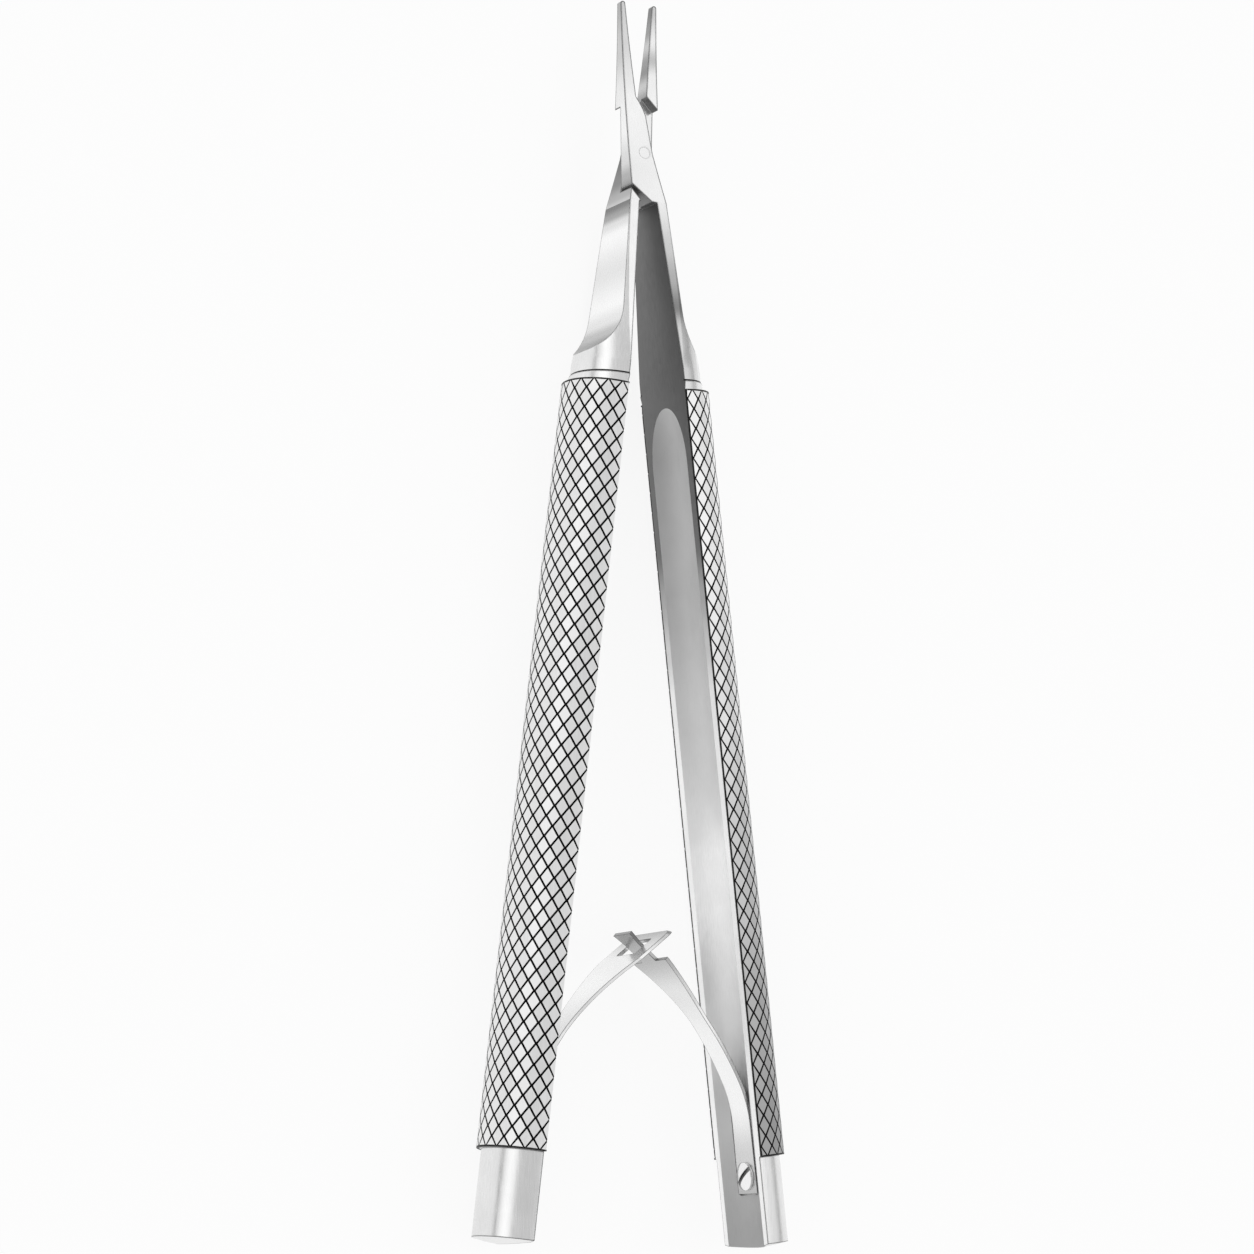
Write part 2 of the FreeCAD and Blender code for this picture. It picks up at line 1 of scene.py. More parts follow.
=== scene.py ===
"""Looks of the ophthalmic needle-holder forceps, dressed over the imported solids.

Both arms are one pattern, once as it is and once turned over, so whatever belongs to an arm is
drawn once on the handle's own lines and placed on each arm by that arm's matrix. Shapes on the
handle's own lines are in millimetres, and that matrix also turns them into metres.
"""
import json
import math

import bmesh
import bpy
from mathutils import Matrix, Vector


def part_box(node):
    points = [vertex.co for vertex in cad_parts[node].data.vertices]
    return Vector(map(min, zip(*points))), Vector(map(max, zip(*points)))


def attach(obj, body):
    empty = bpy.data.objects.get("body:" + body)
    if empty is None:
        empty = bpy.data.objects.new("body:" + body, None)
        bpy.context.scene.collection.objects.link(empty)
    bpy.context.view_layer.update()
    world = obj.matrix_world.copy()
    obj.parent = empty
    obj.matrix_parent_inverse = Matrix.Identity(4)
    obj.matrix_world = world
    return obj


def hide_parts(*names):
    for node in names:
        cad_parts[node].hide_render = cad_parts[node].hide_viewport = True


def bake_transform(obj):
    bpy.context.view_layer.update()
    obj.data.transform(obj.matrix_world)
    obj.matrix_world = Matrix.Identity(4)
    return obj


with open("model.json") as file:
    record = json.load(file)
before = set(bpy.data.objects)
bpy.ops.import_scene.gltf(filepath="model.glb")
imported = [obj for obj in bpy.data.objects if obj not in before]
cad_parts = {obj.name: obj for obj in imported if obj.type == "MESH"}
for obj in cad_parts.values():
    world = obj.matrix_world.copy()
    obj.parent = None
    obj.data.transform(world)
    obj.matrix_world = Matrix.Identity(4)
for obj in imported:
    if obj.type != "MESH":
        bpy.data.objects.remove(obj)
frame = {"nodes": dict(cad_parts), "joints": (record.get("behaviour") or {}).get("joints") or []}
bpy.context.view_layer.update()

MM = 0.001

# Sizes and places on the handle's own lines, measured from the pivot, as in the solids
HANDLE_SPLAY_DEG = 0.95
HANDLE_OFFSET = 0.42
GRIP_RADIUS = 4.75
KNURL_DEPTH = 0.28
BAR_RADIUS = GRIP_RADIUS - KNURL_DEPTH
KNURL_START_Y = -25.5
KNURL_END_Y = -104.2
HOLLOW_TOP_Y = -26.7
COLLAR_AXIS = -0.33
COLLAR_RADIUS = 4.65
COLLAR_REAR_Y = -24.6
SCALLOP_FOOT_Y = -23.1
NECK_FRONT_Y = -5.5
CROTCH_FOOT_Y = 3.9
PIN_RADIUS = 0.6

# Limits that tell an arm's faces apart by their place
LAP_REAR_Y = NECK_FRONT_Y - 0.4
HOLLOW_FRONT_Y = HOLLOW_TOP_Y + 1.0
HOLLOW_HALF_HEIGHT = 4.0
PLACE_SLACK = 0.01
INNER_FACE_SLACK = 0.03
KNURL_TIP_SLACK = 0.005

# Limits that tell them apart by the part of their normal along an axis
SQUARE_ON = 0.99
LYING_FLAT = 0.7
LEANING = 0.3
FACING_OUT = 0.1
STANDING_UPRIGHT = 0.02

# Fine knurl: columns of diamonds round half the bar and rows of them along it, their grooves,
# and the distances within which its points are welded and count as lying on a cut
DIAMONDS_ROUND = 10
DIAMONDS_LONG = 38
GROOVE_WIDTH = 0.3
GROOVE_DEPTH = 0.16
KNURL_WELD = 1e-4
KNURL_SNAP = 1e-5

# Fine turned lines at the collar and at both ends of the knurl
TURNED_LINE_WIDTH = 0.16
TURNED_LINE_HEIGHT = 0.02
TURNED_LINE_STEPS = 48

# Screws: their place along the handle, their broken edges, and the slot across the head
SCREW_Y = -106.1
SCREW_EDGE = 0.08
SLOT_FLOOR_X = 0.97
SLOT_WIDTH = 0.4
SLOT_TURN_DEG = 35.0

# Springs: the slices across them, and the distance within which a point counts as lying on a cut
SPRING_CUTS = 40
SPRING_SNAP = 1e-4

# Solids: the distance within which points are welded, the angle up to which an area counts as
# flat, and the angle past which an edge counts as sharp
WELD_DISTANCE = 0.0005
FLAT_DEG = 0.3
SHARP_DEG = 32.0

# Grain and clouds: their patches to the metre, how the grain is drawn out, the values of grain
# times cloud where the steel is dullest and cleanest, and the strength of the grain's bumps
GRAIN_SCALE = 9000.0
GRAIN_STRETCH = (1.0, 0.04, 1.0)
CLOUD_SCALE = 160.0
DULLEST_GRAIN = 0.12
CLEANEST_GRAIN = 0.4
GRAIN_BUMP = 0.25

# Softened edges: the cosine between the rounded and the plain normal where the edge's tone (on
# the outer edges, painted shade) begins and where it is full, and the radii from the pivot
# between which softening sets in
EDGE_BEGINS = 0.995
EDGE_IS_FULL = 0.92
FLUSH_RADIUS = PIN_RADIUS
SOFTENED_RADIUS = 1.6 * PIN_RADIUS

# Camera, fitted to the photograph: degrees and millimetres about the pivot
CAMERA_TURN_DEG = 29.153
CAMERA_TILT_DEG = 9.28
CAMERA_ROLL_DEG = 0.2395
CAMERA_DISTANCE = 441.978
CAMERA_SIDE = -0.9631
CAMERA_LIFT = -49.0513
CAMERA_FOCAL_PIXELS = 4237.136
PHOTO_PIXELS = 1254
SENSOR_WIDTH = 36.0

# Studio: the floor's tone and how much of it shows as plain white, and the room's tone by height
FLOOR_TONE = 0.97
FLOOR_WHITE_SHARE = 0.88
FLOOR_HALF_WIDTH = 3.0
ROOM_TONES = ((0.0, 0.42), (0.5, 0.94), (0.86, 0.68), (1.0, 0.67))

joint = frame["joints"][0]
PIVOT = Vector(joint["pos_m"])
OPEN_HALF = math.radians(joint["range_deg"][1] / 2)
SPLAY = math.radians(HANDLE_SPLAY_DEG)

# From the handle's own lines, in millimetres, to the handle's place on each arm, in metres
HANDLE_MATRIX = {
    "front": Matrix.Translation(PIVOT) @ Matrix.Rotation(OPEN_HALF + SPLAY, 4, "Z") @ Matrix.Scale(MM, 4),
    "rear": (
        Matrix.Translation(PIVOT)
        @ Matrix.Rotation(-OPEN_HALF, 4, "Z")
        @ Matrix.Rotation(math.pi, 4, "Y")
        @ Matrix.Rotation(SPLAY, 4, "Z")
        @ Matrix.Scale(MM, 4)
    ),
}


# Nodes

def add_node(tree, kind, inputs, **settings):
    """A shader node with its settings, and its inputs fed by sockets or plain values."""
    node = tree.nodes.new("ShaderNode" + kind)
    for setting, value in settings.items():
        setattr(node, setting, value)
    for key, value in inputs.items():
        if isinstance(value, bpy.types.NodeSocket):
            tree.links.new(value, node.inputs[key])
        else:
            node.inputs[key].default_value = value
    return node


def math_node(tree, operation, first, second, clamp=False):
    """A Math node; returns its output."""
    return add_node(tree, "Math", {0: first, 1: second}, operation=operation, use_clamp=clamp).outputs[0]


def vector_node(tree, operation, first, second):
    """A Vector Math node; returns the node, whose output depends on the operation."""
    return add_node(tree, "VectorMath", {0: first, 1: second}, operation=operation)


def soft_step(tree, value, start, end, low=0.0):
    """A soft rise from low, where the value is start, to 1, where it is end; returns its output."""
    limits = {"Value": value, "From Min": start, "From Max": end, "To Min": low, "To Max": 1.0}
    return add_node(tree, "MapRange", limits, interpolation_type="SMOOTHSTEP").outputs["Result"]


def coordinate(tree, kind, axis):
    """One axis of the Object or Generated coordinates."""
    place = tree.nodes.new("ShaderNodeTexCoord")
    return add_node(tree, "SeparateXYZ", {"Vector": place.outputs[kind]}).outputs[axis]


def grey_ramp(tree, factor, tones):
    """A colour ramp that eases through (share, grey) pairs; returns its colour."""
    ramp = add_node(tree, "ValToRGB", {0: factor})
    ramp.color_ramp.interpolation = "EASE"
    stops = ramp.color_ramp.elements
    while len(stops) < len(tones):
        stops.new(1.0)
    for stop, (share, grey) in zip(stops, tones):
        stop.position = share
        stop.color = (grey, grey, grey, 1.0)
    return ramp.outputs["Color"]


# Node groups

FLOAT = "NodeSocketFloat"
VECTOR = "NodeSocketVector"


def new_group(name, inputs, outputs):
    """An empty shader group with its sockets; returns it with its input and output nodes."""
    group = bpy.data.node_groups.new(name, "ShaderNodeTree")
    for label, kind, value in inputs:
        group.interface.new_socket(label, in_out="INPUT", socket_type=kind).default_value = value
    for label, kind in outputs:
        group.interface.new_socket(label, in_out="OUTPUT", socket_type=kind)
    return group, group.nodes.new("NodeGroupInput"), group.nodes.new("NodeGroupOutput")


def grain_group():
    """Scratches drawn out along the instrument: they roughen the steel, and with clouds dull it.

    Roughness is the finish's middle roughness, and Dullest the share of its tone that is left in
    the dullest places.
    """
    group, source, result = new_group(
        "drawn_grain",
        [("Roughness", FLOAT, 0.3), ("Dullest", FLOAT, 0.9)],
        [("Grain", FLOAT), ("Brightness", FLOAT), ("Roughness", FLOAT)],
    )
    place = group.nodes.new("ShaderNodeTexCoord").outputs["Object"]
    drawn_out = vector_node(group, "MULTIPLY", place, GRAIN_STRETCH).outputs["Vector"]
    scratches = {"Vector": drawn_out, "Scale": GRAIN_SCALE, "Detail": 4.0, "Roughness": 0.6}
    grain = add_node(group, "TexNoise", scratches).outputs["Fac"]
    clouds = {"Vector": place, "Scale": CLOUD_SCALE, "Detail": 3.0}
    cloud = add_node(group, "TexNoise", clouds).outputs["Fac"]
    both = math_node(group, "MULTIPLY", grain, cloud)
    brightness = soft_step(group, both, DULLEST_GRAIN, CLEANEST_GRAIN, low=source.outputs["Dullest"])
    spread = math_node(group, "ADD", grain, 0.5)
    rough = math_node(group, "MULTIPLY", spread, source.outputs["Roughness"], clamp=True)
    group.links.new(grain, result.inputs["Grain"])
    group.links.new(brightness, result.inputs["Brightness"])
    group.links.new(rough, result.inputs["Roughness"])
    return group


def edge_group():
    """Softly rounded edges: the rounded normal, and a mask of where it leaves the plain one.

    Width is the radius in metres, and Share the most that the mask reaches. Round the pivot
    nothing is softened, because the pin is ground flush with the lap there.
    """
    group, source, result = new_group(
        "softened_edge",
        [("Width", FLOAT, 0.1 * MM), ("Share", FLOAT, 0.1)],
        [("Edge", FLOAT), ("Normal", VECTOR)],
    )
    rounded = add_node(group, "Bevel", {"Radius": source.outputs["Width"]}, samples=8).outputs["Normal"]
    plain = group.nodes.new("ShaderNodeNewGeometry").outputs["Normal"]
    cosine = vector_node(group, "DOT_PRODUCT", rounded, plain).outputs["Value"]
    place = group.nodes.new("ShaderNodeTexCoord").outputs["Object"]
    level = vector_node(group, "MULTIPLY", place, (1.0, 1.0, 0.0)).outputs["Vector"]
    distance = vector_node(group, "DISTANCE", level, (PIVOT.x, PIVOT.y, 0.0)).outputs["Value"]
    away = soft_step(group, distance, FLUSH_RADIUS * MM, SOFTENED_RADIUS * MM)
    worn = math_node(group, "MULTIPLY", soft_step(group, cosine, EDGE_BEGINS, EDGE_IS_FULL), away)
    normal = add_node(group, "Mix", {"Factor": away, "A": plain, "B": rounded}, data_type="VECTOR")
    group.links.new(math_node(group, "MULTIPLY", worn, source.outputs["Share"]), result.inputs["Edge"])
    group.links.new(normal.outputs["Result"], result.inputs["Normal"])
    return group


GRAIN = grain_group()
EDGE = edge_group()


# Materials

def tone_along(tree, tones):
    """Grey that changes along the instrument, from (millimetres from the pivot, grey) pairs; its changes
    are painted light and shade.
    """
    first = tones[0][0]
    span = tones[-1][0] - first
    from_first = math_node(tree, "SUBTRACT", coordinate(tree, "Object", "Y"), PIVOT.y + first * MM)
    share = math_node(tree, "DIVIDE", from_first, span * MM, clamp=True)
    return grey_ramp(tree, share, [((y - first) / span, grey) for y, grey in tones])


def mix_colour(tree, factor, first, second, blend="MIX"):
    """A Mix node for colours; returns its output."""
    colours = {"Factor": factor, "A": first, "B": second}
    return add_node(tree, "Mix", colours, data_type="RGBA", blend_type=blend).outputs["Result"]


def steel(name, tones, rough, edge=0.1, edge_tone=0.9, edge_share=0.1, variation=0.1, grain_height=0.003):
    """A steel finish whose grey may change along the instrument, with grain and soft edges.

    tones is one grey, or a list of (millimetres from the pivot, grey) from tail to tip, whose
    changes are painted light and shade; edge is the radius of the softened edges in millimetres,
    edge_tone their grey and edge_share how much of it shows; variation is how much of the grey
    the grain takes away, and grain_height the height of its bumps in millimetres.
    """
    if isinstance(tones, float):
        # An even grey is the same at any two places
        tones = [(KNURL_END_Y, tones), (KNURL_START_Y, tones)]
    material = bpy.data.materials.new(name)
    material.use_nodes = True
    tree = material.node_tree
    grain = add_node(tree, "Group", {"Roughness": rough, "Dullest": 1.0 - variation}, node_tree=GRAIN)
    edges = add_node(tree, "Group", {"Width": edge * MM, "Share": edge_share}, node_tree=EDGE)
    tone = mix_colour(tree, 1.0, tone_along(tree, tones), grain.outputs["Brightness"], blend="MULTIPLY")
    edge_colour = (edge_tone, edge_tone, edge_tone, 1.0)
    colour = mix_colour(tree, edges.outputs["Edge"], tone, edge_colour)
    bumps = {
        "Strength": GRAIN_BUMP,
        "Distance": grain_height * MM,
        "Height": grain.outputs["Grain"],
        "Normal": edges.outputs["Normal"],
    }
    shader = tree.nodes["Principled BSDF"]
    shader.inputs["Metallic"].default_value = 1.0
    tree.links.new(colour, shader.inputs["Base Color"])
    tree.links.new(grain.outputs["Roughness"], shader.inputs["Roughness"])
    tree.links.new(add_node(tree, "Bump", bumps).outputs["Normal"], shader.inputs["Normal"])
    return material


# Outer edges get a dark grey, painted shade that sets the polished faces off
PAINTED_EDGE_SHADE = {"edge_tone": 0.13, "edge_share": 0.9}

# Painted highlight: the polished steel is a little lighter round the neck
POLISHED = steel(
    "polished_steel",
    [(-114.0, 0.84), (-104.0, 0.84), (-24.0, 0.87), (-16.0, 0.92), (-8.0, 0.84)],
    rough=0.24, edge=0.26, **PAINTED_EDGE_SHADE,
)
# Painted shade: this lap face darkens towards the jaw's tip
LAP_FACE = steel(
    "polished_lap_face",
    [(-6.0, 0.8), (0.0, 0.84), (6.0, 0.86), (9.0, 0.78), (12.0, 0.66), (16.0, 0.6)],
    rough=0.24, edge=0.28, **PAINTED_EDGE_SHADE,
)
# Painted shade: a dark band about 10 mm ahead of the pivot and a darker tip on this lap face
REAR_LAP_FACE = steel(
    "polished_rear_lap_face",
    [(-6.0, 0.8), (0.0, 0.83), (5.0, 0.86), (8.5, 0.84), (10.4, 0.52), (12.5, 0.84), (16.0, 0.58)],
    rough=0.24, edge=0.28, **PAINTED_EDGE_SHADE,
)
# Painted shade: a dark band across the neck's top face about 16 mm behind the pivot
NECK_FACE = steel(
    "polished_neck_face",
    [(-24.6, 0.76), (-19.0, 0.64), (-16.6, 0.24), (-13.5, 0.44), (-10.0, 0.6), (-5.0, 0.8)],
    rough=0.24, edge=0.25, **PAINTED_EDGE_SHADE,
)
# Painted shade and highlight: dark behind the pivot, brightest just ahead of it, darker to the tip
JAW_WALL = steel(
    "polished_jaw_wall",
    [(-4.2, 0.26), (-2.6, 0.5), (-1.0, 0.8), (2.5, 0.98), (7.0, 0.92), (11.0, 0.66), (16.0, 0.46)],
    rough=0.25, edge=0.28, **PAINTED_EDGE_SHADE,
)
# Painted shade: the lap's side darkens towards the pivot
LAP_SIDE = steel(
    "ground_lap_side_painted_shade",
    [(-5.6, 0.72), (-4.6, 0.5), (-2.8, 0.28), (0.0, 0.18)],
    rough=0.35, edge=0.15, **PAINTED_EDGE_SHADE,
)
# Painted light and shade: light and dark bands along the gripping face
GRIPPING_FACE = steel(
    "fine_ground_gripping_face_painted_light_and_shade",
    [(3.8, 0.2), (6.2, 0.4), (7.6, 0.66), (9.2, 0.32), (10.2, 0.36), (12.0, 0.64), (13.6, 0.36),
     (16.0, 0.24)],
    rough=0.3, edge=0.15, **PAINTED_EDGE_SHADE,
)
# Painted shade: the shoulders are dark greys, darkest just ahead of the pivot
SHOULDER = steel(
    "ground_shoulder_painted_shade",
    [(-5.5, 0.3), (-3.4, 0.42), (3.0, 0.14), (6.3, 0.26)],
    rough=0.4, edge=0.05,
)
# Painted shade at both ends of the neck's scallop, with painted highlights between them
SCALLOP = steel(
    "ground_neck_scallop_painted_light_and_shade",
    [(-22.6, 0.14), (-21.0, 0.24), (-19.6, 0.52), (-18.2, 0.84), (-16.4, 1.0), (-12.6, 0.84),
     (-8.7, 1.0), (-7.5, 0.8), (-6.6, 0.4), (-5.6, 0.22)],
    rough=0.28, edge=0.3, variation=0.03, grain_height=0.001, **PAINTED_EDGE_SHADE,
)
# Painted shade: the inner face is dark along the neck and lightens towards the tail
INNER_FACE = steel(
    "ground_inner_face_painted_shade",
    [(-113.0, 1.0), (-70.0, 1.0), (-57.0, 0.96), (-51.5, 0.72), (-46.5, 0.5), (-41.0, 0.2),
     (-30.0, 0.19), (-3.0, 0.23)],
    rough=0.5, edge=0.14, **PAINTED_EDGE_SHADE,
)
# Painted light and shade: the hollow is brightest about 75 mm behind the pivot, darker to both ends
HOLLOW = steel(
    "milled_hollow",
    [(-113.0, 0.46), (-98.5, 0.62), (-89.0, 0.84), (-75.0, 1.0), (-62.0, 0.76), (-48.0, 0.68),
     (-27.0, 0.66)],
    rough=0.6,
)
REAR_LAND = steel("knurl_land", 0.9, rough=0.42, edge=0.04, variation=0.06)
# Painted shade: the front knurl's lands darken towards the tail, while the rear knurl is even
FRONT_LAND = steel(
    "knurl_land_painted_shade_to_the_tail",
    [(-104.0, 0.4), (-90.0, 0.5), (-75.0, 0.64), (-57.0, 0.86), (-42.0, 0.98), (-26.0, 0.98)],
    rough=0.42, edge=0.04, variation=0.06,
)
# Painted shade: the knurl's grooves and the turned lines are near black
GROOVE = steel("knurl_groove_painted_shade", 0.03, rough=0.5, edge=0.04, edge_share=0.0, variation=0.4)
# Painted light and shade: the tongue leaf is brightest in its middle and darker at both ends
TONGUE_STEEL = steel(
    "tongue_leaf_steel",
    [(-108.0, 0.48), (-103.5, 0.7), (-98.0, 0.98), (-92.0, 0.98), (-87.0, 0.84), (-83.5, 0.48),
     (-80.0, 0.26)],
    rough=0.26, edge=0.12, variation=0.05, **PAINTED_EDGE_SHADE,
)
# Painted light and shade: the window leaf is brightest about 86 mm behind the pivot, darker at both ends
WINDOW_STEEL = steel(
    "window_leaf_steel",
    [(-108.0, 0.5), (-95.0, 0.62), (-91.0, 0.84), (-86.5, 0.98), (-84.0, 0.94), (-80.0, 0.32)],
    rough=0.26, edge=0.12, variation=0.05, **PAINTED_EDGE_SHADE,
)
SCREW_STEEL = steel("turned_screw_steel", 0.92, rough=0.16, edge=0.16, variation=0.05, **PAINTED_EDGE_SHADE)
# Painted shade: the screw's slot is dark grey
SLOT_STEEL = steel("milled_slot_painted_shade", 0.2, rough=0.4, edge=0.04)
PIN_STEEL = steel("ground_pin_steel", 0.84, rough=0.24, edge=0.01, edge_share=0.0)


# Mesh helpers

OWN_SHADING = "own_shading"


def merged_copy(node):
    """The solid's mesh as one closed bmesh that remembers the solid's own smooth shading."""
    data = frame["nodes"][node].data.copy()
    shading = [value for corner in data.corner_normals for value in corner.vector]
    data.attributes.new(OWN_SHADING, "FLOAT_VECTOR", "CORNER").data.foreach_set("vector", shading)
    mesh = bmesh.new()
    mesh.from_mesh(data)
    bpy.data.meshes.remove(data)
    bmesh.ops.remove_doubles(mesh, verts=mesh.verts, dist=WELD_DISTANCE * MM)
    return mesh


def slice_across(mesh, spot, direction, snap, clear_outer=False):
    """Cuts the mesh along a plane, and takes away what lies beyond it where told to."""
    bmesh.ops.bisect_plane(
        mesh, geom=[*mesh.verts, *mesh.edges, *mesh.faces], dist=snap, plane_co=spot, plane_no=direction,
        clear_outer=clear_outer,
    )


def new_elements(made, kind):
    """The vertices or the faces among what an operator has made."""
    return [element for element in made["geom"] if isinstance(element, kind)]


def break_edges(mesh, width):
    """Joins flat areas and rounds the sharp edges."""
    bmesh.ops.dissolve_limit(
        mesh, angle_limit=math.radians(FLAT_DEG), verts=mesh.verts, edges=mesh.edges
    )
    sharp = [
        edge for edge in mesh.edges
        if len(edge.link_faces) == 2 and edge.calc_face_angle(0) > math.radians(SHARP_DEG)
    ]
    bmesh.ops.bevel(
        mesh, geom=sharp, offset=width * MM, offset_type="OFFSET", affect="EDGES", segments=2,
        profile=0.5, material=-1, clamp_overlap=True,
    )


def make_piece(name, mesh, materials, smooth_deg=30, own_shading=False):
    """An object from a bmesh in metres, shaded as its solid is or smooth up to an angle."""
    data = bpy.data.meshes.new(name)
    mesh.to_mesh(data)
    mesh.free()
    for material in materials:
        data.materials.append(material)
    for polygon in data.polygons:
        polygon.use_smooth = True
    if own_shading:
        data.normals_split_custom_set([corner.vector for corner in data.attributes[OWN_SHADING].data])
    else:
        data.set_sharp_from_angle(angle=math.radians(smooth_deg))
    if OWN_SHADING in data.attributes:
        data.attributes.remove(data.attributes[OWN_SHADING])
    piece = bpy.data.objects.new(name, data)
    bpy.context.scene.collection.objects.link(piece)
    return piece


# Arms

def on_knurl(point):
    """Whether a point on the handle's own lines lies on the knurled stretch's round side."""
    along = KNURL_END_Y - PLACE_SLACK < point.y < KNURL_START_Y + PLACE_SLACK
    return along and point.x > HANDLE_OFFSET - PLACE_SLACK


def file_down_knurl(mesh, matrix):
    """Takes the coarse points off the grip, so that the fine knurl lies on a plain bar."""
    to_handle = matrix.inverted()
    for vertex in mesh.verts:
        point = to_handle @ vertex.co
        across = Vector((point.x - HANDLE_OFFSET, 0, point.z))
        if on_knurl(point) and BAR_RADIUS < across.length < GRIP_RADIUS + KNURL_TIP_SLACK:
            across = across.normalized() * BAR_RADIUS
            vertex.co = matrix @ Vector((HANDLE_OFFSET + across.x, point.y, across.z))


ARM_FINISHES = [
    POLISHED, INNER_FACE, HOLLOW, LAP_FACE, REAR_LAP_FACE, NECK_FACE, JAW_WALL, LAP_SIDE,
    GRIPPING_FACE, SHOULDER, SCALLOP,
]


def lap_finish(centre, normal):
    """The finish of a face of the lap or the jaw."""
    if abs(normal.z) > LYING_FLAT:
        return LAP_FACE if normal.z > 0 else REAR_LAP_FACE
    if normal.y < -LEANING:
        return SHOULDER
    if normal.x < 0:
        return JAW_WALL
    return GRIPPING_FACE if centre.y > CROTCH_FOOT_Y else LAP_SIDE


def arm_finish(centre, normal):
    """The finish of a face of the arm, from its place and direction on the handle's own lines."""
    if centre.y > LAP_REAR_Y:
        return lap_finish(centre, normal)
    if normal.x < -SQUARE_ON and abs(centre.x - HANDLE_OFFSET) < INNER_FACE_SLACK:
        return INNER_FACE
    in_hollow = centre.y < HOLLOW_FRONT_Y and abs(centre.z) < HOLLOW_HALF_HEIGHT
    if in_hollow and normal.x < -LEANING and centre.x > HANDLE_OFFSET:
        return HOLLOW
    if centre.y > SCALLOP_FOOT_Y and normal.x > FACING_OUT and abs(normal.z) < STANDING_UPRIGHT:
        return SCALLOP
    if centre.y > COLLAR_REAR_Y and normal.z > LYING_FLAT:
        return NECK_FACE
    return POLISHED


def paint_arm(mesh, matrix):
    """Gives each face of the arm the number of its finish."""
    to_handle = matrix.inverted()
    turn = to_handle.to_3x3()
    for face in mesh.faces:
        centre = to_handle @ face.calc_center_median()
        normal = (turn @ face.normal).normalized()
        face.material_index = ARM_FINISHES.index(arm_finish(centre, normal))


def dress_arm(body):
    """The arm's own solid with its knurl filed down and a finish for each of its areas."""
    node = body + "_arm"
    mesh = merged_copy(node)
    file_down_knurl(mesh, HANDLE_MATRIX[body])
    paint_arm(mesh, HANDLE_MATRIX[body])
    piece = make_piece(node + "_body", mesh, ARM_FINISHES, own_shading=True)
    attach(piece, body)
    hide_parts(node)


def turned_line(mesh, y, axis_x, radius):
    """One fine line round the handle's outer side, dark with painted shade, drawn on the handle's own
    lines.
    """
    half_turn = math.acos((HANDLE_OFFSET - axis_x) / radius)
    low = radius - TURNED_LINE_WIDTH
    high = radius + TURNED_LINE_HEIGHT
    centre = Vector((axis_x, 0, 0))
    turn = Matrix.Rotation(half_turn, 4, "Y")
    corners = [(high, y), (high, y + TURNED_LINE_WIDTH), (low, y + TURNED_LINE_WIDTH), (low, y)]
    section = [mesh.verts.new(centre + turn @ Vector((reach, place, 0))) for reach, place in corners]
    cap = mesh.faces.new(section)
    bmesh.ops.spin(
        mesh, geom=[cap, *cap.edges, *section], cent=centre, axis=(0, 1, 0), angle=-2 * half_turn,
        steps=TURNED_LINE_STEPS,
    )


def dress_lines(body):
    """The turned lines at the collar and at both ends of the knurl."""
    mesh = bmesh.new()
    for y, axis_x, radius in (
        (COLLAR_REAR_Y, COLLAR_AXIS, COLLAR_RADIUS),
        (KNURL_START_Y - TURNED_LINE_WIDTH, HANDLE_OFFSET, GRIP_RADIUS - TURNED_LINE_HEIGHT),
        (KNURL_END_Y, HANDLE_OFFSET, GRIP_RADIUS - TURNED_LINE_HEIGHT),
    ):
        turned_line(mesh, y, axis_x, radius)
    bmesh.ops.transform(mesh, matrix=HANDLE_MATRIX[body], verts=mesh.verts)
    bmesh.ops.recalc_face_normals(mesh, faces=mesh.faces)
    piece = make_piece(body + "_turned_lines", mesh, [GROOVE])
    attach(piece, body)


def knurl_sheet():
    """The knurl rolled out flat, in millimetres: X round the bar, Y along it, Z outwards."""
    width = math.pi * GRIP_RADIUS
    length = KNURL_START_Y - KNURL_END_Y
    half_x = width / DIAMONDS_ROUND / 2
    half_y = length / DIAMONDS_LONG / 2
    mesh = bmesh.new()
    places = ((half_x, 0, 0), (0, half_y, 0), (-half_x, 0, 0), (0, -half_y, 0))
    corners = [mesh.verts.new(place) for place in places]
    diamond = [mesh.faces.new(corners)]
    for column in range(2 * DIAMONDS_ROUND + 1):
        for row in range(2 * DIAMONDS_LONG + 1):
            if (column + row) % 2 == 0 and (column or row):
                made = bmesh.ops.duplicate(mesh, geom=corners + diamond)
                shift = (column * half_x, row * half_y, 0)
                bmesh.ops.translate(mesh, verts=new_elements(made, bmesh.types.BMVert), vec=shift)
    bmesh.ops.remove_doubles(mesh, verts=mesh.verts, dist=KNURL_WELD)
    for spot, outwards in (
        ((0, 0, 0), (-1, 0, 0)),
        ((width, 0, 0), (1, 0, 0)),
        ((0, 0, 0), (0, -1, 0)),
        ((0, length, 0), (0, 1, 0)),
    ):
        slice_across(mesh, spot, outwards, snap=KNURL_SNAP, clear_outer=True)
    return mesh


def raise_diamonds(mesh):
    """Gives the flat sheet a thickness and cuts the grooves between the diamonds."""
    made = bmesh.ops.extrude_face_region(mesh, geom=list(mesh.faces), use_keep_orig=True)
    lands = new_elements(made, bmesh.types.BMFace)
    lift = (0, 0, KNURL_DEPTH - GROOVE_DEPTH)
    bmesh.ops.translate(mesh, verts=new_elements(made, bmesh.types.BMVert), vec=lift)
    bmesh.ops.inset_individual(mesh, faces=lands, thickness=GROOVE_WIDTH / 2, depth=GROOVE_DEPTH)
    land_set = set(lands)
    for face in mesh.faces:
        face.material_index = 0 if face in land_set else 1


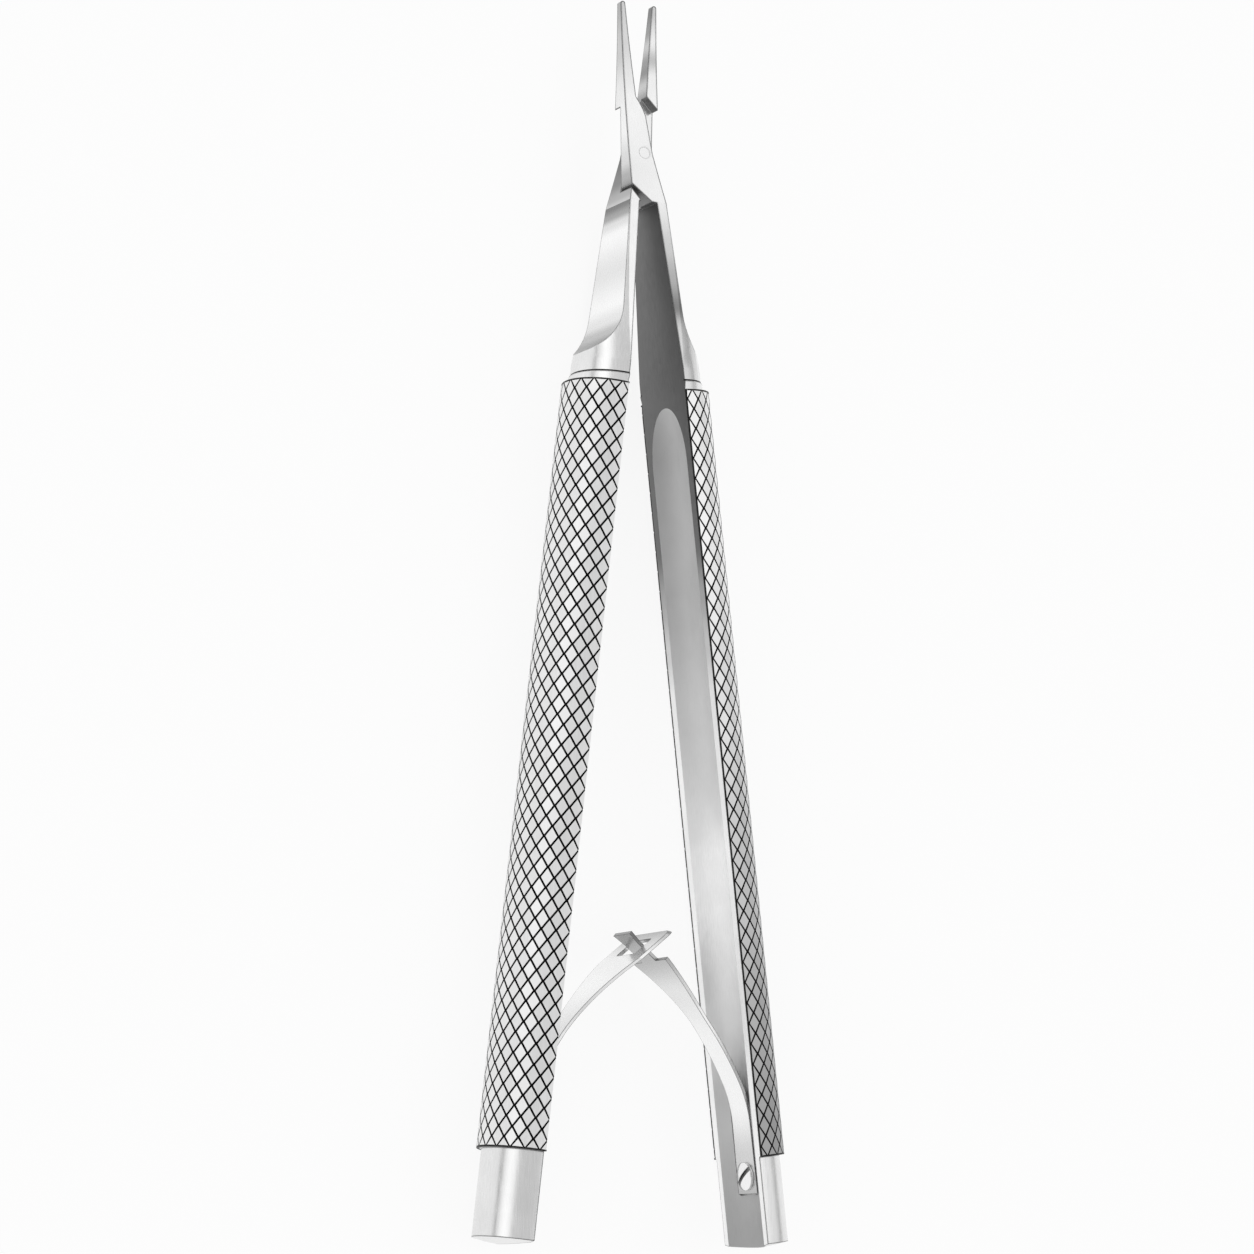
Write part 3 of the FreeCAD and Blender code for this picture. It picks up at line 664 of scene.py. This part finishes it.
def wrap_round_bar(mesh, matrix):
    """Bends the flat sheet round the handle's axis and puts it on its arm.

    X runs from the top of the bar down, because the other way would turn the sheet inside out.
    """
    for vertex in mesh.verts:
        angle = math.pi / 2 - vertex.co.x / GRIP_RADIUS
        radius = BAR_RADIUS + vertex.co.z
        vertex.co = matrix @ Vector((
            HANDLE_OFFSET + radius * math.cos(angle),
            KNURL_END_Y + vertex.co.y,
            radius * math.sin(angle),
        ))


def dress_grip(body, land):
    """The fine knurl of one handle: flat-topped diamonds and the grooves between them, dark with painted
    shade.
    """
    mesh = knurl_sheet()
    raise_diamonds(mesh)
    wrap_round_bar(mesh, HANDLE_MATRIX[body])
    piece = make_piece(body + "_grip_knurl", mesh, [land, GROOVE], smooth_deg=20)
    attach(piece, body)


# Springs

def dress_spring(node, finish):
    """The leaf, sliced across into even lengths."""
    mesh = merged_copy(node)
    low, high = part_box(node)
    for cut in range(1, SPRING_CUTS):
        y = low.y + (high.y - low.y) * cut / SPRING_CUTS
        slice_across(mesh, (0, y, 0), (0, 1, 0), snap=SPRING_SNAP * MM)
    piece = make_piece(node + "_leaf", mesh, [finish], own_shading=True)
    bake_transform(piece)
    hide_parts(node)


# Screws and pin

def dress_screw(spring, body):
    """A spring's screw with broken edges, and painted shade in its slot."""
    node = spring + "_screw"
    mesh = merged_copy(node)
    to_handle = HANDLE_MATRIX[body].inverted()
    screw_centre = Vector((0, SCREW_Y, 0))
    slot_turn = Matrix.Rotation(math.radians(SLOT_TURN_DEG), 4, "X")
    for face in mesh.faces:
        spot = slot_turn @ (to_handle @ face.calc_center_median() - screw_centre)
        if abs(spot.y) < SLOT_WIDTH / 2 + PLACE_SLACK and spot.x < SLOT_FLOOR_X + PLACE_SLACK:
            face.material_index = 1
    break_edges(mesh, SCREW_EDGE)
    piece = make_piece(node + "_turned", mesh, [SCREW_STEEL, SLOT_STEEL])
    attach(piece, body)
    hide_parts(node)


def dress_pin():
    """The pin is ground off flush, so its edges stay sharp."""
    piece = make_piece("pivot_pin_ground", merged_copy("pivot_pin"), [PIN_STEEL], own_shading=True)
    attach(piece, "rear")
    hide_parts("pivot_pin")


# Stage

def make_floor():
    """A white floor that keeps the object's shadow, for the camera and in the steel alike."""
    mesh = bmesh.new()
    bmesh.ops.create_grid(mesh, x_segments=1, y_segments=1, size=FLOOR_HALF_WIDTH)
    material = bpy.data.materials.new("white_floor")
    material.use_nodes = True
    tree = material.node_tree
    shader = tree.nodes["Principled BSDF"]
    shader.inputs["Base Color"].default_value = (FLOOR_TONE, FLOOR_TONE, FLOOR_TONE, 1.0)
    shader.inputs["Roughness"].default_value = 0.9
    path = tree.nodes.new("ShaderNodeLightPath")
    seen = math_node(tree, "ADD", path.outputs["Is Camera Ray"], path.outputs["Is Glossy Ray"])
    share = math_node(tree, "MULTIPLY", seen, FLOOR_WHITE_SHARE, clamp=True)
    white = tree.nodes.new("ShaderNodeEmission")
    blend = add_node(tree, "MixShader", {0: share, 1: shader.outputs[0], 2: white.outputs[0]})
    tree.links.new(blend.outputs[0], tree.nodes["Material Output"].inputs["Surface"])
    floor = make_piece("floor", mesh, [material])


def make_softbox(name, direction, distance, along, across, radiance):
    """An area lamp that faces the object, long along the instrument; lengths are in metres."""
    data = bpy.data.lights.new(name, "AREA")
    data.shape = "RECTANGLE"
    data.size = along
    data.size_y = across
    data.energy = radiance * math.pi * along * across
    lamp = bpy.data.objects.new(name, data)
    bpy.context.scene.collection.objects.link(lamp)
    towards = Vector(direction).normalized()
    beside = towards.cross(Vector((0, 1, 0))).normalized()
    rotation = Matrix((beside.cross(towards), beside, towards)).transposed().to_4x4()
    lamp.matrix_world = Matrix.Translation(towards * distance) @ rotation


def make_world():
    """A soft room, darkest at the horizon, brightest a third of the way up and duller overhead."""
    world = bpy.data.worlds.new("studio")
    bpy.context.scene.world = world
    world.use_nodes = True
    tree = world.node_tree
    room = grey_ramp(tree, coordinate(tree, "Generated", "Z"), ROOM_TONES)
    tree.links.new(room, tree.nodes["Background"].inputs["Color"])


def make_camera():
    """The camera, from its fitted turn, tilt, roll and distance."""
    turn = math.radians(CAMERA_TURN_DEG)
    tilt = math.radians(CAMERA_TILT_DEG)
    roll = math.radians(CAMERA_ROLL_DEG)
    back = Vector((-math.sin(turn) * math.cos(tilt), -math.sin(tilt), math.cos(turn) * math.cos(tilt)))
    level_up = (Vector((0, 1, 0)) - back * back.y).normalized()
    level_right = level_up.cross(back)
    right = math.cos(roll) * level_right + math.sin(roll) * level_up
    up = math.cos(roll) * level_up - math.sin(roll) * level_right
    data = bpy.data.cameras.new("camera")
    data.sensor_width = SENSOR_WIDTH
    data.lens = CAMERA_FOCAL_PIXELS / PHOTO_PIXELS * SENSOR_WIDTH
    data.clip_start = 0.01
    camera = bpy.data.objects.new("camera", data)
    bpy.context.scene.collection.objects.link(camera)
    place = PIVOT + (CAMERA_DISTANCE * back + CAMERA_SIDE * right + CAMERA_LIFT * up) * MM
    rotation = Matrix((right, up, back)).transposed().to_4x4()
    camera.matrix_world = Matrix.Translation(place) @ rotation
    bpy.context.scene.camera = camera


for body_name, other_name, spring, leaf_finish, land_finish in (
    ("front", "rear", "tongue_spring", TONGUE_STEEL, FRONT_LAND),
    ("rear", "front", "window_spring", WINDOW_STEEL, REAR_LAND),
):
    dress_arm(body_name)
    dress_grip(body_name, land_finish)
    dress_lines(body_name)
    dress_spring(spring, leaf_finish)
    dress_screw(spring, body_name)
dress_pin()

make_floor()
make_softbox(
    "key_softbox", direction=(-0.85, 0.2, 0.49), distance=1.1, along=1.5, across=0.78, radiance=0.33
)
make_softbox(
    "top_softbox", direction=(0.54, 0.25, 0.8), distance=1.2, along=1.5, across=0.5, radiance=0.4
)
make_world()
make_camera()
bpy.context.scene.view_settings.view_transform = "Standard"

bpy.context.view_layer.update()
